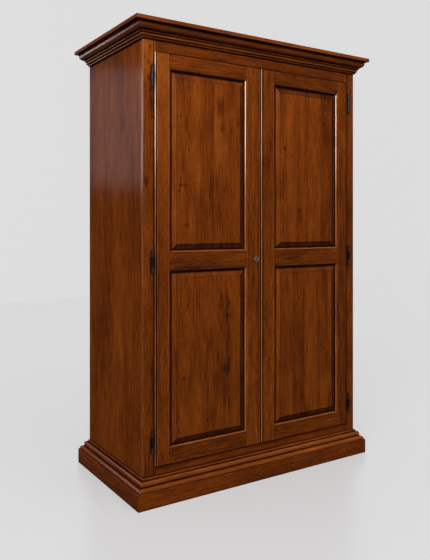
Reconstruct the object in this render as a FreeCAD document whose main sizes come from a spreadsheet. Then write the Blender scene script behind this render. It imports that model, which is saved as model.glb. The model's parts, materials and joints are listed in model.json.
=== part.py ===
"""Kas cupboard: a two-door linen press on a moulded plinth, under a moulded cornice.

Millimetres, +Z up, the doors face -Y, and the origin is on the floor under the middle of the cupboard.
"""
import FreeCAD
import Part
import Sketcher

import math
import os
from types import SimpleNamespace

# Driving sizes, one cell each

SIZES = {
    # The whole
    "body_width": 1192,
    "body_depth": 578,
    "overall_height": 2000,
    # Plinth and base moulding, each measured out from the carcass
    "plinth_height": 67,
    "plinth_projection": 42,
    "plinth_thickness": 22,
    "corner_block_side": 62,
    "corner_block_lift": 3,
    "base_moulding_projection": 36.5,
    "base_quirk_depth": 2,
    "base_quirk_height": 1.5,
    "base_ovolo_toe_height": 1,
    "base_ovolo_radius": 13,
    "base_ledge_height": 2,
    "base_torus_projection": 20.5,
    "base_torus_under_radius": 4,
    "base_torus_flat_height": 4.5,
    "base_torus_radius": 11,
    "base_cap_projection": 5.5,
    "base_cap_height": 6.5,
    "outer_edge_radius": 2,
    # Cornice, measured out from the carcass and up from its lower edge
    "cornice_height": 76,
    "cornice_projection": 56,
    "cornice_quirk_height": 1.5,
    "cornice_lower_bead_root": 4,
    "cornice_lower_bead_radius": 3.75,
    "cornice_band_projection": 13,
    "cornice_band_height": 12,
    "cornice_upper_bead_root": 16.5,
    "cornice_upper_bead_radius": 3.5,
    "cornice_swell_projection": 39.5,
    "cornice_swell_fillet_height": 1.3,
    "cornice_swell_radius": 20,
    "cornice_upright_height": 1.5,
    "cornice_cove_radius": 8.5,
    "cover_thickness": 15,
    # Carcass
    "side_thickness": 20,
    "board_thickness": 20,
    "door_stop_height": 12.5,
    "shelf_front_gap": 30,
    "shelf_side_gap": 0.5,
    "cleat_width": 18,
    "cleat_height": 30,
    "cleat_end_gap": 20,
    # Back
    "back_thickness": 18,
    "back_top_rail_height": 95,
    "back_bottom_rail_height": 93,
    "back_muntin_width": 70,
    "back_panel_thickness": 6,
    "back_groove_depth": 8,
    # Face frame and the doorway in it
    "frame_thickness": 18,
    "frame_stile_width": 57.5,
    "frame_arris_radius": 4,
    "frame_chamfer_width": 2,
    "frame_bottom_rail_height": 85.5,
    "frieze_height": 111.5,
    # Doors
    "door_proud_depth": 8,
    "door_inset_depth": 17,
    "door_edge_gap": 2.5,
    "door_side_gap": 1.5,
    "lip_overlap_width": 6.5,
    "lip_clearance": 0.8,
    "meeting_groove_width": 7,
    "meeting_gap": 2.5,
    "edge_bead_radius": 3.4,
    "edge_quirk_depth": 2.4,
    "edge_quirk_width": 3.2,
    "edge_round_radius": 1.2,
    "hinge_stile_width": 65,
    "meeting_stile_width": 72.5,
    "top_rail_height": 57,
    "lower_opening_height": 753,
    "middle_rail_height": 67,
    "bottom_rail_height": 60,
    "sticking_flat_width": 2,
    "sticking_quirk_depth": 0.5,
    "sticking_radius": 9,
    "groove_depth": 8,
    "panel_tongue_thickness": 6,
    "panel_play_gap": 1,
    "panel_margin_width": 40,
    "panel_field_step_height": 1.5,
    "panel_field_drop_depth": 1,
    "tenon_length": 22,
    "tenon_thickness": 8,
    "tenon_shoulder_width": 10,
    "tenon_clearance": 0.1,
    # Hinges
    "hinge_axis_side_gap": 11,
    "hinge_axis_front_gap": 7,
    "hinge_end_distance": 101,
    "knuckle_radius": 6.3,
    "knuckle_height": 20.5,
    "knuckle_gap": 0.5,
    "knuckle_chamfer_width": 1.2,
    "finial_neck_length": 2.4,
    "finial_ring_radius": 5.2,
    "finial_ring_height": 6.4,
    "finial_ball_radius": 5.1,
    "pin_radius": 2.5,
    "pin_half_length": 18,
    "pin_seat_clearance": 0.02,
    "pin_running_clearance": 0.05,
    "pin_end_gap": 0.5,
    "shank_start_radius": 4,
    "shank_clearance": 0.1,
    "frame_shank_radius": 3,
    "frame_shank_length": 15,
    "door_shank_radius": 2,
    "door_shank_length": 36,
    # Lock, key and keeper, on the backs of the meeting stiles
    "key_middle_distance": 45,
    "key_radius": 3,
    "key_clearance": 0.3,
    "keyhole_radius": 4.5,
    "keyhole_slot_width": 5,
    "keyhole_slot_length": 13,
    "key_bit_radius": 11,
    "key_bit_width": 3,
    "key_bit_length": 6,
    "key_collar_radius": 4.6,
    "key_collar_length": 3,
    "key_stem_length": 13,
    "bow_length": 36,
    "bow_height": 32,
    "bow_bar_width": 4.6,
    "bow_thickness": 3.6,
    "bow_corner_radius": 3,
    "drop_radius": 4.4,
    "drop_neck_radius": 2,
    "drop_length": 12,
    "case_end_gap": 5,
    "case_length": 73,
    "case_below_key_height": 24,
    "case_above_key_height": 28,
    "case_depth": 15,
    "case_wall_thickness": 2,
    "flange_height": 12,
    "flange_thickness": 2,
    "lock_bolt_height": 14,
    "lock_bolt_thickness": 7,
    "lock_bolt_above_key_gap": 7,
    "lock_bolt_end_gap": 0.5,
    "lock_bolt_clearance": 0.3,
    "lock_bolt_tail_length": 29,
    "talon_start_distance": 13.5,
    "talon_width": 9,
    "talon_depth": 5,
    "keeper_end_gap": 4,
    "keeper_length": 24,
    "keeper_wall_thickness": 3,
    "keeper_clearance": 1,
    # Bolts on the right door
    "bolt_middle_distance": 45,
    "bolt_radius": 4,
    "bolt_clearance": 0.3,
    "bolt_length": 110,
    "bolt_end_gap": 4,
    "bolt_back_distance": 11,
    "bolt_hole_radius": 6,
    "bolt_hole_depth": 16,
    "bolt_knob_radius": 3,
    "bolt_knob_length": 9,
    "guide_width": 22,
    "guide_height": 96,
    "guide_end_gap": 22,
    "staple_width": 15,
    "staple_height": 9,
    "staple_wall_thickness": 2.5,
    "staple_end_distance": 16,
    # Screws in the door backs
    "screw_radius": 1.8,
    "screw_length": 14,
    "screw_head_radius": 3.6,
    "screw_head_height": 2,
    "screw_clearance": 0.1,
    "screw_edge_distance": 6,
}

SHELVES = ("lower_shelf", "middle_shelf", "upper_shelf")
DOOR_SHANK_ANGLE = 14.0
OVERCUT = 1

doc = FreeCAD.newDocument("KasCupboard")
sheet = doc.addObject("Spreadsheet::Sheet", "Sizes")
for row, (alias, number) in enumerate(SIZES.items(), 1):
    sheet.set(f"A{row}", alias)
    sheet.set(f"B{row}", str(number))
    sheet.setAlias(f"B{row}", alias)
doc.recompute()


class Size:
    """A length: its value in millimetres, and the sheet expression that gives it."""

    def __init__(self, value, text):
        self.value = value
        self.text = text

    def __add__(self, other):
        other = as_size(other)
        return Size(self.value + other.value, f"({self.text} + {other.text})")

    def __sub__(self, other):
        other = as_size(other)
        return Size(self.value - other.value, f"({self.text} - {other.text})")

    def __mul__(self, factor):
        return Size(self.value * factor, f"({self.text} * {factor})")

    def __truediv__(self, factor):
        return Size(self.value / factor, f"({self.text} / {factor})")

    def __neg__(self):
        return Size(-self.value, f"(0 - {self.text})")

    def __radd__(self, other):
        return as_size(other) + self

    def __rsub__(self, other):
        return as_size(other) - self

    __rmul__ = __mul__


def as_size(number):
    """A plain number as a Size, and a Size as it is."""
    return number if isinstance(number, Size) else Size(number, repr(number))


size = SimpleNamespace(**{alias: Size(sheet.get(alias), f"Sizes.{alias}") for alias in SIZES})
nodes = []


# Making and placing solids

def keep(label, thing):
    """Names a finished piece, which then gets a file of its own."""
    thing.Label = label
    nodes.append(thing)
    return thing


def place(thing, x, y, z, axis=(0, 0, 1), degrees=0.0):
    """Turns a thing about an axis and ties its place to the sheet."""
    turn = FreeCAD.Rotation(FreeCAD.Vector(*axis), degrees)
    thing.Placement = FreeCAD.Placement(FreeCAD.Vector(), turn)
    for letter, spot in zip("xyz", (x, y, z)):
        thing.setExpression(f"Placement.Base.{letter}", as_size(spot).text)
    return thing


def box(x, y, z):
    """A board between two limits each way."""
    thing = doc.addObject("Part::Box", "Board")
    for edge, (low, high) in zip(("Length", "Width", "Height"), (x, y, z)):
        thing.setExpression(edge, (as_size(high) - low).text)
    return place(thing, x[0], y[0], z[0])


def rod(radius, length, spot, axis=(0, 0, 1), degrees=0.0):
    """A round bar that starts at a spot, upright before it is turned."""
    thing = doc.addObject("Part::Cylinder", "Rod")
    thing.setExpression("Radius", as_size(radius).text)
    thing.setExpression("Height", as_size(length).text)
    return place(thing, *spot, axis, degrees)


def fuse(*things):
    thing = doc.addObject("Part::MultiFuse", "Joined")
    thing.Shapes = list(things)
    thing.Refine = True
    return thing


def cut(base, *tools):
    thing = doc.addObject("Part::Cut", "Cut")
    thing.Base = base
    thing.Tool = tools[0] if len(tools) == 1 else fuse(*tools)
    return thing


def group(*things):
    """Separate solids of one kind, kept together."""
    thing = doc.addObject("Part::Compound", "Group")
    thing.Links = list(things)
    return thing


def new_body():
    return doc.addObject("PartDesign::Body", "Body")


def draw(body, plane, outlines, lift=0):
    """A sketch on one of the body's own planes, lifted along its normal, with every corner tied to the sheet.

    A corner is (across, up), or (across, up, centre across, centre up) where a quarter arc or less runs to it.
    """
    sketch = body.newObject("Sketcher::SketchObject", "Outline")
    support = next(feature for feature in body.Origin.OriginFeatures if feature.Role == plane)
    sketch.AttachmentSupport = [(support, "")]
    sketch.MapMode = "FlatFace"
    sketch.setExpression("AttachmentOffset.Base.z", as_size(lift).text)
    for outline in outlines:
        draw_outline(sketch, [[as_size(number) for number in corner] for corner in outline])
    return sketch


def draw_outline(sketch, corners):
    """One closed outline, as edges that each run from the corner before."""
    edges = []
    for before, corner in zip(corners[-1:] + corners[:-1], corners):
        start = FreeCAD.Vector(before[0].value, before[1].value, 0)
        end = FreeCAD.Vector(corner[0].value, corner[1].value, 0)
        if len(corner) == 2:
            edges.append((sketch.addGeometry(Part.LineSegment(start, end)), 1, 2))
            continue
        centre = FreeCAD.Vector(corner[2].value, corner[3].value, 0)
        first = math.atan2(start.y - centre.y, start.x - centre.x)
        last = math.atan2(end.y - centre.y, end.x - centre.x)
        left_turn = (start - centre).cross(end - centre).z > 0
        circle = Part.Circle(centre, FreeCAD.Vector(0, 0, 1), (end - centre).Length)
        span = (first, last) if left_turn else (last, first)
        arc = sketch.addGeometry(Part.ArcOfCircle(circle, *span))
        edges.append((arc, 1, 2) if left_turn else (arc, 2, 1))
    for (edge, _, end), (following, start, _) in zip(edges, edges[1:] + edges[:1]):
        sketch.addConstraint(Sketcher.Constraint("Coincident", edge, end, following, start))
    for (edge, _, end), before, corner in zip(edges, corners[-1:] + corners[:-1], corners):
        for kind, spot in zip(("DistanceX", "DistanceY"), corner[:2]):
            tie(sketch, Sketcher.Constraint(kind, -1, 1, edge, end, spot.value), spot)
        if len(corner) == 4:
            radius = arc_radius(before, corner)
            tie(sketch, Sketcher.Constraint("Radius", edge, radius.value), radius)


def tie(sketch, constraint, spot):
    number = sketch.addConstraint(constraint)
    sketch.setExpression(f"Constraints[{number}]", spot.text)


def arc_radius(before, corner):
    """The radius of an arc, from whichever of its ends lies square to the centre."""
    for end in (before, corner):
        for along, square in ((0, 1), (1, 0)):
            if abs(end[square].value - corner[2 + square].value) < 1e-9:
                reach = end[along] - corner[2 + along]
                return reach if reach.value > 0 else -reach
    raise ValueError("an arc has no end square to its centre")


def pad(body, sketch, length):
    feature = body.newObject("PartDesign::Pad", "Pad")
    feature.Profile = sketch
    feature.setExpression("Length", as_size(length).text)
    return feature


def pocket(body, sketch, depth=None):
    """Cuts a sketch out of the body, to a depth behind it or right through both ways."""
    doc.recompute()
    before = body.Shape.Volume
    feature = body.newObject("PartDesign::Pocket", "Pocket")
    feature.Profile = sketch
    if depth is None:
        feature.Type = "ThroughAll"
        feature.SideType = "Symmetric"
    else:
        feature.setExpression("Length", as_size(depth).text)
    doc.recompute()
    if not body.Shape.Volume < before:
        raise ValueError("a pocket cuts nothing")
    return feature


# Levels and faces that the pieces share

half_width = size.body_width / 2
half_depth = size.body_depth / 2
frame_face = -half_depth
frame_back = frame_face + size.frame_thickness
back_front = half_depth - size.back_thickness
side_inner = half_width - size.side_thickness
doorway_half = half_width - size.frame_stile_width
cornice_level = size.overall_height - size.cornice_height
carcass_top = size.overall_height - size.cover_thickness
doorway_bottom = size.plinth_height + size.frame_bottom_rail_height
doorway_top = carcass_top - size.frieze_height
floor_top = doorway_bottom + size.door_stop_height
ceiling = doorway_top - size.door_stop_height

door_bottom = doorway_bottom + size.door_edge_gap
door_top = doorway_top - size.door_edge_gap
door_height = door_top - door_bottom
door_outer = doorway_half + size.lip_overlap_width
door_meeting = size.meeting_groove_width / 2
door_back = frame_face + size.door_inset_depth
door_face = frame_face - size.door_proud_depth
opening_outer = door_outer - size.hinge_stile_width
opening_inner = door_meeting + size.meeting_stile_width
middle_rail_level = door_bottom + size.bottom_rail_height + size.lower_opening_height
middle_rail_top = middle_rail_level + size.middle_rail_height
middle_height = middle_rail_level + size.middle_rail_height / 2
hinge_heights = (door_bottom + size.hinge_end_distance, middle_height, door_top - size.hinge_end_distance)


# Plinth boards and mouldings, mitred round all four sides

SIDE_DEGREES = {"front": 0, "right": 90, "back": 180, "left": 270}


def mitred_length(label, side, outline, level):
    """One side's length of a section given as (out from the carcass, up), cut at 45 degrees at both ends."""
    lengthwise = side in ("front", "back")
    length = size.body_width if lengthwise else size.body_depth
    reach = half_depth if lengthwise else half_width
    widest = max((corner[0] for corner in outline), key=lambda out: as_size(out).value)
    section = []
    for corner in outline:
        turned = [-(reach + corner[0]), corner[1]]
        if len(corner) == 4:
            turned += [-(reach + corner[2]), corner[3]]
        section.append(turned)
    body = new_body()
    pad(body, draw(body, "YZ_Plane", [section], -(length / 2 + widest)), length + 2 * widest)
    far = widest + OVERCUT
    ends = []
    for end in (-1, 1):
        inner = length / 2 * end
        outer = (length / 2 + far) * end
        ends.append([(inner, -reach), (outer, -(reach + far)), (outer, -reach)])
    pocket(body, draw(body, "XY_Plane", ends))
    place(body, 0, 0, level, (0, 0, 1), SIDE_DEGREES[side])
    return keep(label, body)


def rounded_corner(out, up):
    """The top outer corner of a section, eased to a small radius."""
    radius = size.outer_edge_radius
    return [(out, up - radius), (out - radius, up, out - radius, up - radius)]


plinth_inner = size.plinth_projection - size.plinth_thickness
plinth_section = [
    (plinth_inner, 0),
    (size.plinth_projection, 0),
    *rounded_corner(size.plinth_projection, size.plinth_height),
    (plinth_inner, size.plinth_height),
]


def base_moulding_section():
    """From the outer toe up: an ovolo, a ledge, a torus and a small cap, parted by narrow quirks."""
    quirk = size.base_quirk_height
    toe = size.base_moulding_projection
    toe_level = quirk + size.base_ovolo_toe_height
    shoulder = toe - size.base_ovolo_radius
    shoulder_level = toe_level + size.base_ovolo_radius
    ledge = shoulder_level + size.base_ledge_height
    torus = size.base_torus_projection
    belly = torus - size.base_torus_under_radius
    under = ledge + quirk + size.base_torus_under_radius
    spring = under + size.base_torus_flat_height
    neck = torus - size.base_torus_radius
    crown = spring + size.base_torus_radius
    cap = size.base_cap_projection
    cap_level = crown + quirk + size.base_cap_height
    return [
        (as_size(0), 0),
        (toe - size.base_quirk_depth, 0),
        (toe - size.base_quirk_depth, quirk),
        (toe, quirk),
        (toe, toe_level),
        (shoulder, shoulder_level, shoulder, toe_level),
        (shoulder, ledge),
        (belly - size.base_quirk_depth, ledge),
        (belly - size.base_quirk_depth, ledge + quirk),
        (belly, ledge + quirk),
        (torus, under, belly, under),
        (torus, spring),
        (neck, crown, neck, spring),
        (cap - size.base_quirk_depth, crown),
        (cap - size.base_quirk_depth, crown + quirk),
        (cap, crown + quirk),
        *rounded_corner(cap, cap_level),
        (as_size(0), cap_level),
    ]


def bead(root, level, radius):
    """A half round, up from a level, that stands out from a root."""
    return [
        (root, level),
        (root + radius, level + radius, root, level + radius),
        (root, level + radius * 2, root, level + radius),
    ]


def cornice_section():
    """From the foot up: a bead, a flat band, a second bead, a swelling ovolo, a cove and a thick square lip.

    The ovolo's arc starts 0.28 of its radius out from its centre and 0.96 below, and ends level with it.
    """
    band = size.cornice_band_projection
    band_low = size.cornice_lower_bead_radius * 2 + size.cornice_quirk_height
    band_top = band_low + size.cornice_band_height
    bead_top = band_top + size.cornice_upper_bead_radius * 2
    fillet_low = bead_top + size.cornice_quirk_height
    swell = size.cornice_swell_projection
    swell_centre = swell - size.cornice_swell_radius
    swell_in = swell_centre + size.cornice_swell_radius * 0.28
    swell_low = fillet_low + size.cornice_swell_fillet_height
    swell_level = swell_low + size.cornice_swell_radius * 0.96
    cove_low = swell_level + size.cornice_upright_height
    soffit_in = swell + size.cornice_cove_radius
    soffit = cove_low + size.cornice_cove_radius
    return [
        (as_size(0), 0),
        *bead(size.cornice_lower_bead_root, as_size(0), size.cornice_lower_bead_radius),
        (size.cornice_lower_bead_root, band_low),
        (band, band_low),
        (band, band_top),
        *bead(size.cornice_upper_bead_root, band_top, size.cornice_upper_bead_radius),
        (size.cornice_upper_bead_root, fillet_low),
        (swell_in, fillet_low),
        (swell_in, swell_low),
        (swell, swell_level, swell_centre, swell_level),
        (swell, cove_low),
        (soffit_in, soffit, soffit_in, cove_low),
        (size.cornice_projection, soffit),
        *rounded_corner(size.cornice_projection, size.cornice_height),
        (as_size(0), size.cornice_height),
    ]


for side in SIDE_DEGREES:
    mitred_length(f"plinth_{side}_board", side, plinth_section, 0)
    mitred_length(f"base_moulding_{side}", side, base_moulding_section(), size.plinth_height)
    mitred_length(f"cornice_{side}", side, cornice_section(), cornice_level)


# Corner blocks: they stiffen the plinth's mitres and carry the carcass
def corner_block(right, back):
    limits = []
    for toward, half in ((right, half_width), (back, half_depth)):
        outer = (half + plinth_inner) * toward
        inner = (half + plinth_inner - size.corner_block_side) * toward
        limits.append((outer, inner) if toward < 0 else (inner, outer))
    return box(*limits, (size.corner_block_lift, size.plinth_height))


keep("plinth_corner_blocks", group(*[corner_block(r, b) for r in (-1, 1) for b in (-1, 1)]))


# Carcass boards

panel_low = size.plinth_height + size.back_bottom_rail_height
panel_high = carcass_top - size.back_top_rail_height
back_groove_front = back_front + (size.back_thickness - size.back_panel_thickness) / 2
back_groove = (back_groove_front, back_groove_front + size.back_panel_thickness)
groove_low = panel_low - size.back_groove_depth
groove_high = panel_high + size.back_groove_depth


def ordered(one, other):
    return (one, other) if as_size(one).value < as_size(other).value else (other, one)


for name, toward in (("left", -1), ("right", 1)):
    board = box(
        ordered(half_width * toward, side_inner * toward),
        (frame_back, half_depth),
        (size.plinth_height, carcass_top),
    )
    groove = box(
        ordered(side_inner * toward, (side_inner + size.back_groove_depth) * toward),
        back_groove,
        (groove_low, groove_high),
    )
    keep(f"{name}_side", cut(board, groove))

bolt_line = door_back + size.bolt_back_distance


def bolt_hole(low):
    spot = (size.bolt_middle_distance, bolt_line, low)
    return rod(size.bolt_hole_radius, size.bolt_hole_depth, spot)


inside_x = (-side_inner, side_inner)
floor_board = box(inside_x, (frame_back, back_front), (floor_top - size.board_thickness, floor_top))
keep("bottom_board", cut(floor_board, bolt_hole(floor_top - size.bolt_hole_depth)))
ceiling_board = box(inside_x, (frame_back, back_front), (ceiling, ceiling + size.board_thickness))
keep("top_board", cut(ceiling_board, bolt_hole(ceiling)))
keep(
    "cornice_cover_board",
    box((-half_width, half_width), (-half_depth, half_depth), (carcass_top, size.overall_height)),
)


# Face frame: its stiles have a rounded outer arris, and its joints with the rails show as V-grooves

frame_chamfered = frame_face + size.frame_chamfer_width
shank_turn = (1, 0, 0), -90


def frame_shank(toward, height, radius, length):
    """The screw of a hinge's frame half, straight back from the knuckle."""
    start = hinge_y + size.shank_start_radius
    return rod(radius, length, (hinge_x * toward, start, height - size.knuckle_height / 2), *shank_turn)


hinge_x = door_outer + size.hinge_axis_side_gap
hinge_y = frame_face - size.hinge_axis_front_gap
frame_shank_reach = size.hinge_axis_front_gap - size.shank_start_radius + size.frame_shank_length

for name, toward in (("left", -1), ("right", 1)):
    rounded = half_width - size.frame_arris_radius
    stile = new_body()
    outline = [
        (half_width * toward, frame_back),
        (half_width * toward, frame_face + size.frame_arris_radius),
        (rounded * toward, frame_face, rounded * toward, frame_face + size.frame_arris_radius),
        ((doorway_half + size.frame_chamfer_width) * toward, frame_face),
        (doorway_half * toward, frame_chamfered),
        (doorway_half * toward, frame_back),
    ]
    pad(stile, draw(stile, "XY_Plane", [outline], size.plinth_height), carcass_top - size.plinth_height)
    hole_radius = size.frame_shank_radius + size.shank_clearance
    hole_reach = frame_shank_reach + size.shank_clearance
    holes = [frame_shank(toward, height, hole_radius, hole_reach) for height in hinge_heights]
    keep(f"{name}_frame_stile", cut(stile, *holes))

for name, low, high in (
    ("frieze_rail", doorway_top, carcass_top),
    ("bottom_rail", size.plinth_height, doorway_bottom),
):
    rail = new_body()
    outline = [
        (-doorway_half, frame_back),
        (-doorway_half, frame_chamfered),
        (-doorway_half + size.frame_chamfer_width, frame_face),
        (doorway_half - size.frame_chamfer_width, frame_face),
        (doorway_half, frame_chamfered),
        (doorway_half, frame_back),
    ]
    pad(rail, draw(rail, "XY_Plane", [outline], low), high - low)
    keep(name, rail)


# Back: two panels in grooves of the rails, the muntin and the sides

back_y = (back_front, half_depth)
half_muntin = size.back_muntin_width / 2
top_groove = box(inside_x, back_groove, (panel_high, groove_high))
keep("back_top_rail", cut(box(inside_x, back_y, (panel_high, carcass_top)), top_groove))
bottom_groove = box(inside_x, back_groove, (groove_low, panel_low))
keep("back_bottom_rail", cut(box(inside_x, back_y, (size.plinth_height, panel_low)), bottom_groove))

muntin_grooves = []
for toward in (-1, 1):
    edges = ordered(half_muntin * toward, (half_muntin - size.back_groove_depth) * toward)
    muntin_grooves.append(box(edges, back_groove, (panel_low, panel_high)))
keep("back_muntin", cut(box((-half_muntin, half_muntin), back_y, (panel_low, panel_high)), *muntin_grooves))

back_tongue = size.back_groove_depth - size.panel_play_gap
for name, toward in (("left", -1), ("right", 1)):
    edges = ordered((half_muntin - back_tongue) * toward, (side_inner + back_tongue) * toward)
    keep(f"back_{name}_panel", box(edges, back_groove, (panel_low - back_tongue, panel_high + back_tongue)))


# Shelves, evenly spaced, each on a cleat at both ends

shelf_front = frame_back + size.shelf_front_gap
shelf_space = (ceiling - floor_top - size.board_thickness * len(SHELVES)) / (len(SHELVES) + 1)
shelf_half = side_inner - size.shelf_side_gap
cleats = []
for count, name in enumerate(SHELVES, 1):
    level = floor_top + shelf_space * count + size.board_thickness * (count - 1)
    keep(name, box((-shelf_half, shelf_half), (shelf_front, back_front), (level, level + size.board_thickness)))
    for toward in (-1, 1):
        edges = ordered(side_inner * toward, (side_inner - size.cleat_width) * toward)
        reach = (shelf_front + size.cleat_end_gap, back_front - size.cleat_end_gap)
        cleats.append(box(edges, reach, (level - size.cleat_height, level)))
keep("shelf_cleats", group(*cleats))


# Doors: stiles and rails with a moulded inner edge, tenoned together round raised panels

sticking_width = size.sticking_flat_width + size.sticking_radius
panel_front = size.door_proud_depth - size.sticking_quirk_depth - size.sticking_radius
tenon_front = (size.door_proud_depth - size.door_inset_depth + size.tenon_thickness) / 2


def edge_bead():
    """The bead and quirk along a door's upright edge, from the bead's foot to the face."""
    radius = size.edge_bead_radius
    foot = size.lip_clearance
    crown = foot + 2 * radius
    drop = size.edge_quirk_depth
    quirk = 2 * radius + size.edge_quirk_width
    rounding = size.edge_round_radius
    face = size.door_proud_depth
    return [
        (0, foot + radius),
        (radius, crown, radius, foot + radius),
        (2 * radius - drop, crown),
        (2 * radius, crown - drop, 2 * radius - drop, crown - drop),
        (quirk, crown - drop),
        (quirk, face - rounding),
        (quirk + rounding, face, quirk + rounding, face - rounding),
    ]


def lipped_edge():
    """The hinge side: the bead stands on a lip that laps over the face frame."""
    body_edge = size.lip_overlap_width + size.door_side_gap
    radius = size.edge_bead_radius
    foot = size.lip_clearance
    bead = edge_bead()
    bead[0] = (0, foot + radius, radius, foot + radius)
    return [(body_edge, -size.door_inset_depth), (body_edge, foot), (radius, foot)] + bead


def meeting_edge():
    """The meeting side: the bead is set back a little from the edge."""
    body_edge = (size.meeting_gap - size.meeting_groove_width) / 2
    foot = size.lip_clearance
    return [(body_edge, -size.door_inset_depth), (body_edge, foot), (0, foot)] + edge_bead()


def plain_edge():
    return [(0, -size.door_inset_depth), (0, size.door_proud_depth)]


def door_member(spot, axis, degrees, toward, width, length, edge, runs):
    """A stile or rail along its own Z, with its first edge at 0 and its panel edge at its width, across X.

    runs are the stretches with a moulded edge: (side 0 or 1, from, to), mitred at both ends.
    """
    body = new_body()

    def across(outline):
        turned = []
        for corner in outline:
            numbers = [as_size(number) for number in corner]
            turned.append([number * toward if i % 2 == 0 else -number for i, number in enumerate(numbers)])
        return turned

    section = edge + [(width, size.door_proud_depth), (width, -size.door_inset_depth)]
    pad(body, draw(body, "XY_Plane", [across(section)]), length)
    thickness = size.door_proud_depth + size.door_inset_depth
    for side, low, high in runs:
        root = width * side
        outward = sticking_width * (1 if side else -1)
        tip = root + outward
        strip = [
            (root * toward, low),
            (tip * toward, low + sticking_width),
            (tip * toward, high - sticking_width),
            (root * toward, high),
        ]
        pad(body, draw(body, "XZ_Plane", [strip], -size.door_inset_depth), thickness)
    for side in sorted({run[0] for run in runs}):
        root = width * side
        sign = 1 if side else -1
        tip = root + (sticking_width + OVERCUT) * sign
        flat = root + size.sticking_flat_width * sign
        lip = root + sticking_width * sign
        low = size.door_proud_depth - size.sticking_quirk_depth
        quarter = [
            (root, size.door_proud_depth + OVERCUT),
            (tip, size.door_proud_depth + OVERCUT),
            (tip, panel_front),
            (lip, panel_front),
            (flat, low, flat, panel_front),
            (root, low),
        ]
        pocket(body, draw(body, "XY_Plane", [across(quarter)]))
        deep = lip - size.groove_depth * sign
        behind = panel_front - size.panel_tongue_thickness
        groove = [(deep, panel_front), (tip, panel_front), (tip, behind), (deep, behind)]
        pocket(body, draw(body, "XY_Plane", [across(groove)]))
    place(body, *spot, axis, degrees)
    return body


def add_tenons(rail, toward, width, length):
    """A tenon right along the rail, which shows past both of its ends."""
    fit = size.tenon_clearance
    near = (size.tenon_shoulder_width + fit) * toward
    far = (width - size.tenon_shoulder_width - fit) * toward
    front = -(tenon_front - fit)
    rear = -(tenon_front - size.tenon_thickness + fit)
    reach = size.tenon_length - fit
    outline = [(near, front), (far, front), (far, rear), (near, rear)]
    pad(rail, draw(rail, "XY_Plane", [outline], -reach), length + 2 * reach)


def cut_mortises(stile, toward, width, rails):
    """Blind mortises in a stile's panel edge, one for each rail, given as (low, high) along the stile."""
    outlines = []
    for low, high in rails:
        deep = (width - size.tenon_length) * toward
        mouth = width * toward
        bottom = low + size.tenon_shoulder_width
        top = high - size.tenon_shoulder_width
        outlines.append([(deep, bottom), (mouth, bottom), (mouth, top), (deep, top)])
    pocket(stile, draw(stile, "XZ_Plane", outlines, tenon_front), size.tenon_thickness)


def raised_panel(x, z):
    """A panel with a sunk tongue all round, a broad bevel, and a field that steps up from it."""
    sight = sticking_width
    tongue = size.groove_depth - size.panel_play_gap
    field = size.door_proud_depth - size.panel_field_drop_depth
    bevel_top = field - size.panel_field_step_height

    def inside(limits, margin):
        return (limits[0] + margin, limits[1] - margin)

    def depth(front, rear):
        return (frame_face - front, frame_face - rear)

    margin = size.panel_margin_width
    rear = panel_front - size.panel_tongue_thickness
    blank = box(inside(x, sight - tongue), depth(panel_front, rear), inside(z, sight - tongue))
    raised = box(inside(x, margin), depth(field, bevel_top), inside(z, margin))
    bevel = doc.addObject("Part::Wedge", "Bevel")
    for letter, limits in (("X", x), ("Z", z)):
        for end, spot in zip(("min", "max"), inside(limits, margin)):
            bevel.setExpression(f"{letter}{end}", spot.text)
        for end, spot in zip(("min", "max"), inside(limits, sight)):
            bevel.setExpression(f"{letter}2{end}", spot.text)
    for end, spot in zip(("min", "max"), depth(bevel_top, panel_front)):
        bevel.setExpression(f"Y{end}", spot.text)
    return fuse(blank, bevel, raised)


def door_shank(toward, height, radius, length):
    """The screw of a hinge's door half, which runs into the lip and slopes back into the stile."""
    slope = math.radians(DOOR_SHANK_ANGLE)
    out, back = math.cos(slope), math.sin(slope)
    start = size.shank_start_radius
    spot = (
        (hinge_x - start * out) * toward,
        hinge_y + start * back,
        height + size.knuckle_height / 2,
    )
    thing = rod(radius, length, spot)
    thing.Placement.Rotation = FreeCAD.Rotation(FreeCAD.Vector(0, 0, 1), FreeCAD.Vector(-toward * out, back, 0))
    return thing


def screw_parts(x, z, fit=0):
    """A round-headed screw in a door's back, under whatever flange or plate it holds."""
    outside = door_back + size.flange_thickness
    shank = rod(size.screw_radius + fit, size.screw_length, (x, outside, z), (1, 0, 0), 90)
    head = rod(size.screw_head_radius, size.screw_head_height, (x, outside, z), *shank_turn)
    return shank, head


def screw(spot):
    return fuse(*screw_parts(*spot))


def screw_hole(spot):
    return screw_parts(*spot, size.screw_clearance)[0]


case_end = -size.case_end_gap
case_start = case_end - size.case_length
case_bottom = middle_height - size.case_below_key_height
case_top = middle_height + size.case_above_key_height
case_back = door_back + size.case_depth
key_x = -size.key_middle_distance

lock_screws = []
for x in (case_start + size.screw_edge_distance, case_end - size.screw_edge_distance):
    lock_screws.append((x, case_bottom - size.flange_height / 2))
    lock_screws.append((x, case_top + size.flange_height / 2))

bolt_low = middle_height + size.lock_bolt_above_key_gap
bolt_high = bolt_low + size.lock_bolt_height
keeper_x = (as_size(size.keeper_end_gap), size.keeper_end_gap + size.keeper_length)
keeper_rim = size.keeper_clearance + size.keeper_wall_thickness
keeper_z = (bolt_low - keeper_rim, bolt_high + keeper_rim)
keeper_middle = size.keeper_end_gap + size.keeper_length / 2
keeper_screws = [
    (keeper_middle, keeper_z[0] - size.flange_height / 2),
    (keeper_middle, keeper_z[1] + size.flange_height / 2),
]

# Guide plates of the two bolts: the lower one is the upper one turned over about the doorway's middle
doorway_middle = (floor_top + ceiling) / 2


def bolt_levels(up):
    """Levels along a bolt, counted from the board that it shoots into, as heights."""
    board = ceiling if up > 0 else floor_top

    def level(away):
        return board - as_size(away) * up

    return level


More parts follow.
